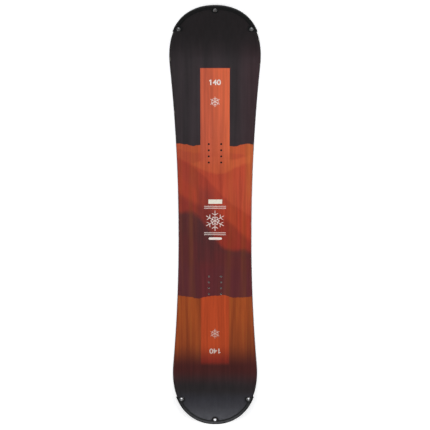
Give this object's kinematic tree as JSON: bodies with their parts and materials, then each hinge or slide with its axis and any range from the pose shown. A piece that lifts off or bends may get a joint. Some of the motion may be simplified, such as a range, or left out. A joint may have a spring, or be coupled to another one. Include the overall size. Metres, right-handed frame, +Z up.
{
  "type": "snowboard",
  "caption": "Directional all-mountain snowboard with upturned tips, steel edges, threaded binding inserts and black bolted guards round the nose and tail.",
  "frame": {"origin": "under the middle of the board's length, on the surface that the board lies on", "axes": "+Y along the board to the nose, +X across it to the toe edge of a left-foot-forward rider, +Z up out of the topsheet"},
  "size_m": [0.2898, 1.3914, 0.0562],
  "materials": {
    "running_base": "sintered polyethylene, fine stone-ground lines, waxed",
    "steel_edge": "ground along its length",
    "rubber_foil": "thin foil, matte",
    "glass_laminate": "glass cloth in clear resin",
    "core_wood": "laminated poplar strips, unfinished",
    "tip_spacer": "milled flush with the sidewalls, satin",
    "sidewall": "milled plastic, satin",
    "printed_topsheet": "printed, satin gloss, light wear",
    "guard_plastic": "moulded, satin, scuffed",
    "insert_steel": "turned",
    "guard_bolt": "zinc plated",
    "sleeve_nut": "zinc plated"
  },
  "bodies": {
    "root": {"base_sheet": "running_base", "edge_heel": "steel_edge", "edge_rubber_heel": "rubber_foil", "edge_rubber_toe": "rubber_foil", "edge_toe": "steel_edge", "insert_front_1": "insert_steel", "insert_front_2": "insert_steel", "insert_front_3": "insert_steel", "insert_front_4": "insert_steel", "insert_front_5": "insert_steel", "insert_front_6": "insert_steel", "insert_front_7": "insert_steel", "insert_front_8": "insert_steel", "insert_rear_1": "insert_steel", "insert_rear_2": "insert_steel", "insert_rear_3": "insert_steel", "insert_rear_4": "insert_steel", "insert_rear_5": "insert_steel", "insert_rear_6": "insert_steel", "insert_rear_7": "insert_steel", "insert_rear_8": "insert_steel", "lower_fibreglass": "glass_laminate", "nose_bolt_centre": "guard_bolt", "nose_bolt_heel": "guard_bolt", "nose_bolt_toe": "guard_bolt", "nose_guard": "guard_plastic", "nose_nut_centre": "sleeve_nut", "nose_nut_heel": "sleeve_nut", "nose_nut_toe": "sleeve_nut", "nose_spacer": "tip_spacer", "sidewall_heel": "sidewall", "sidewall_toe": "sidewall", "tail_bolt_centre": "guard_bolt", "tail_bolt_heel": "guard_bolt", "tail_bolt_toe": "guard_bolt", "tail_guard": "guard_plastic", "tail_nut_centre": "sleeve_nut", "tail_nut_heel": "sleeve_nut", "tail_nut_toe": "sleeve_nut", "tail_spacer": "tip_spacer", "topsheet": "printed_topsheet", "upper_fibreglass": "glass_laminate", "wood_core": "core_wood"}
  },
  "joints": []
}
